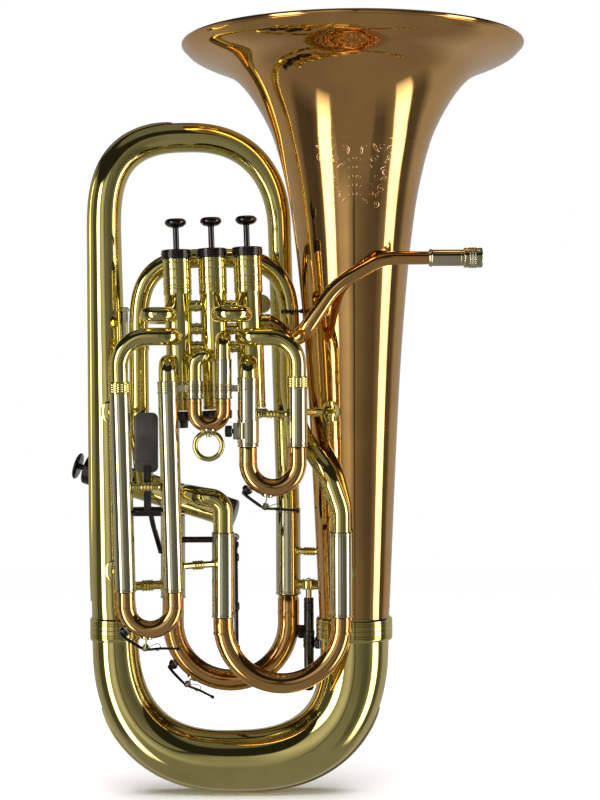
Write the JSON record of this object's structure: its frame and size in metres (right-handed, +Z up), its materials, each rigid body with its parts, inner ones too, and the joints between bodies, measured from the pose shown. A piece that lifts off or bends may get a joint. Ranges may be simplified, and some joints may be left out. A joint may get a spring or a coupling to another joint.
{
  "type": "euphonium",
  "caption": "Compensating valved brass horn with an upright flared bell, top piston valves, a side piston valve, tuning slides with water keys and a thumb trigger.",
  "frame": {"origin": "lowest point of the bottom bow's guard, below the bow's middle", "axes": "+Z up towards the bell's mouth, +X from the left branch towards the bell, +Y away from the front with the valve slides"},
  "size_m": [0.4078, 0.304, 0.667],
  "materials": {
    "gold_brass": "clear-lacquered yellow brass, polished",
    "rose_brass": "clear-lacquered rose brass, polished",
    "nickel_silver": "polished nickel silver",
    "black_nickel": "black nickel plate, polished",
    "paddle_grey": "dark grey satin"
  },
  "bodies": {
    "body": {"bell_ferrule": "gold_brass", "bottom_bow": "gold_brass", "branch_ferrule": "gold_brass", "bottom_guard": "gold_brass", "main_branch": "gold_brass", "side_guard": "gold_brass", "valve_casing_1": "gold_brass", "valve_casing_2": "gold_brass", "valve_casing_3": "gold_brass", "valve_casing_4": "gold_brass", "front_knuckle": "gold_brass", "third_compensating_loop": "gold_brass", "first_inlet": "gold_brass", "first_outlet": "gold_brass", "second_inlet": "gold_brass", "second_outlet": "gold_brass", "third_inlet": "gold_brass", "third_outlet": "gold_brass", "fourth_inlet": "gold_brass", "fourth_return": "gold_brass", "return_bow": "gold_brass", "brace_third": "gold_brass", "brace_first": "gold_brass", "brace_first_bell": "gold_brass", "brace_third_fourth": "gold_brass", "brace_main_bell": "gold_brass", "brace_main_left": "gold_brass", "brace_damper": "gold_brass", "bell": "rose_brass", "leadpipe": "rose_brass", "mouthpiece_receiver": "nickel_silver", "main_sleeve_left": "nickel_silver", "main_sleeve_right": "nickel_silver", "shaft_bearing": "nickel_silver", "lyre_box": "nickel_silver", "top_cap_1": "black_nickel", "top_cap_2": "black_nickel", "top_cap_3": "black_nickel", "top_cap_4": "black_nickel", "bottom_cap_1": "black_nickel", "bottom_cap_2": "black_nickel", "bottom_cap_3": "black_nickel", "bottom_cap_4": "black_nickel", "trigger_pivot": "black_nickel"},
    "piston_1": {"piston_1": "black_nickel"},
    "piston_2": {"piston_2": "black_nickel"},
    "piston_3": {"piston_3": "black_nickel"},
    "piston_4": {"piston_4": "black_nickel"},
    "first_slide": {"first_slide": "rose_brass"},
    "second_slide": {"second_slide": "rose_brass"},
    "third_slide": {"third_slide": "rose_brass"},
    "fourth_slide": {"fourth_slide": "rose_brass"},
    "main_slide": {"main_slide": "rose_brass", "push_rod": "black_nickel"},
    "trigger_lever": {"trigger_lever": "paddle_grey"},
    "trigger_shaft": {"trigger_shaft": "black_nickel"},
    "water_key_first": {"water_key_first": "black_nickel"},
    "water_key_third": {"water_key_third": "black_nickel"},
    "water_key_main": {"water_key_main": "black_nickel"},
    "lyre_screw": {"lyre_screw": "black_nickel"}
  },
  "joints": [
    {"name": "valve_1_press", "type": "slide", "parent": "body", "child": "piston_1", "axis": [0.0297, 0, -0.9996], "range_m": [0, 0.015], "stiffness_N_per_m": 80, "springref_m": -0.02},
    {"name": "valve_2_press", "type": "slide", "parent": "body", "child": "piston_2", "axis": [0.0297, 0, -0.9996], "range_m": [0, 0.015], "stiffness_N_per_m": 80, "springref_m": -0.02},
    {"name": "valve_3_press", "type": "slide", "parent": "body", "child": "piston_3", "axis": [0.0297, 0, -0.9996], "range_m": [0, 0.015], "stiffness_N_per_m": 80, "springref_m": -0.02},
    {"name": "valve_4_press", "type": "slide", "parent": "body", "child": "piston_4", "axis": [0.9454, -0.1607, -0.2836], "range_m": [0, 0.006], "stiffness_N_per_m": 80, "springref_m": -0.02},
    {"name": "first_slide_pull", "type": "slide", "parent": "body", "child": "first_slide", "axis": [0, 0, -1], "range_m": [0, 0.03]},
    {"name": "second_slide_pull", "type": "slide", "parent": "body", "child": "second_slide", "axis": [0, 0, -1], "range_m": [0, 0.012]},
    {"name": "third_slide_pull", "type": "slide", "parent": "body", "child": "third_slide", "axis": [0.0262, 0, -0.9997], "range_m": [0, 0.04]},
    {"name": "fourth_slide_pull", "type": "slide", "parent": "body", "child": "fourth_slide", "axis": [0, 0, -1], "range_m": [0, 0.04]},
    {"name": "main_slide_pull", "type": "slide", "parent": "body", "child": "main_slide", "axis": [0, 0, -1], "range_m": [0, 0.014], "stiffness_N_per_m": 200, "springref_m": -0.02},
    {"name": "trigger_swing", "type": "hinge", "parent": "body", "child": "trigger_lever", "pos_m": [-0.0755, -0.042, 0.253], "axis": [-1, 0, 0], "range_deg": [0, 14]},
    {"name": "trigger_shaft_turn", "type": "hinge", "parent": "body", "child": "trigger_shaft", "pos_m": [-0.03, -0.025, 0.2272], "axis": [-1, 0, 0], "range_deg": [0, 28]},
    {"name": "water_key_first_open", "type": "hinge", "parent": "first_slide", "child": "water_key_first", "pos_m": [0.0266, -0.078, 0.259], "axis": [0, -1, 0], "range_deg": [0, 15], "stiffness_Nm_per_rad": 0.02, "springref_deg": -20.05},
    {"name": "water_key_third_open", "type": "hinge", "parent": "third_slide", "child": "water_key_third", "pos_m": [-0.0756, -0.078, 0.1395], "axis": [0, -1, 0], "range_deg": [0, 15], "stiffness_Nm_per_rad": 0.02, "springref_deg": -20.05},
    {"name": "water_key_main_open", "type": "hinge", "parent": "main_slide", "child": "water_key_main", "pos_m": [-0.0465, 0.028, 0.0925], "axis": [0, -1, 0], "range_deg": [0, 10], "stiffness_Nm_per_rad": 0.02, "springref_deg": -20.05},
    {"name": "lyre_screw_turn", "type": "hinge", "parent": "body", "child": "lyre_screw", "pos_m": [-0.0045, -0.091, 0.3233], "axis": [-1, 0, 0], "continuous": true}
  ],
  "couplings": [
    {"joint": "trigger_swing", "follows": "main_slide_pull", "rad_per_m": 17.4},
    {"joint": "trigger_shaft_turn", "follows": "main_slide_pull", "rad_per_m": 34.8}
  ]
}
